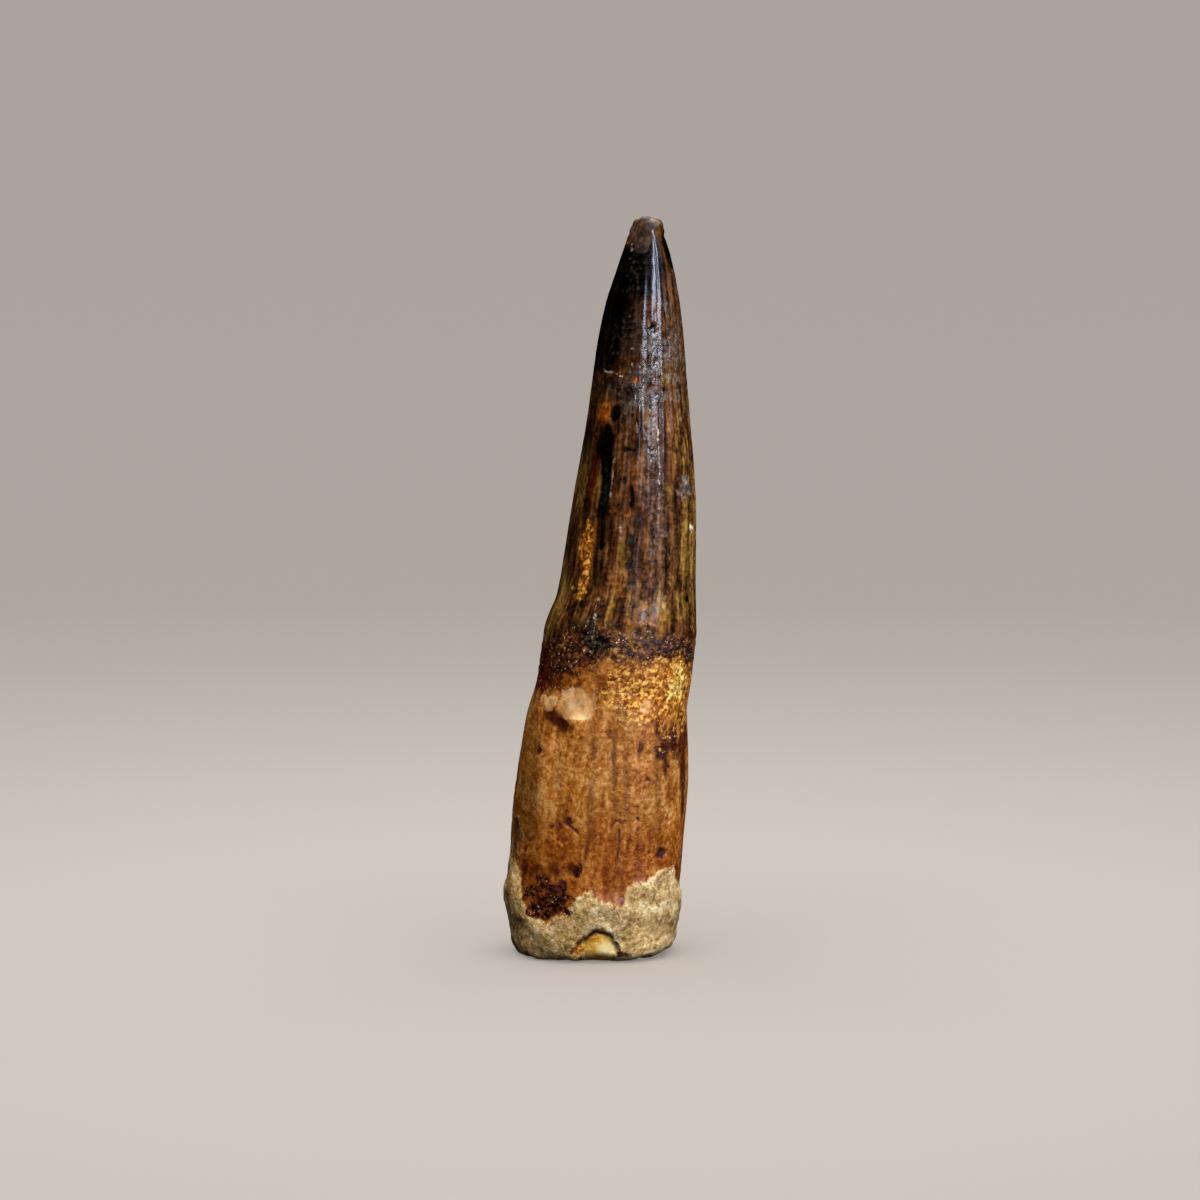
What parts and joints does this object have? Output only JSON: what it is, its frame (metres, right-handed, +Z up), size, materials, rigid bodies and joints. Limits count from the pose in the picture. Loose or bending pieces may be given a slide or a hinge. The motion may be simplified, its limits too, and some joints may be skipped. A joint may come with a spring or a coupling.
{
  "type": "fossil dinosaur tooth",
  "caption": "Tall conical fossil spinosaurid tooth with a fluted dark enamel crown, a rough collar and a brown root crusted with sand at its broken foot.",
  "frame": {"origin": "on the ground, under the middle of the tooth's bounding box", "axes": "+Z up from the broken foot to the tip, +Y from the pictured face to the back, +X to the picture's right"},
  "size_m": [0.029, 0.022, 0.11],
  "materials": {
    "fossil_tooth": "semi-gloss mineralised enamel and dentine, matt sandy crust at the foot"
  },
  "bodies": {
    "root": {"tooth": "fossil_tooth"}
  },
  "joints": []
}
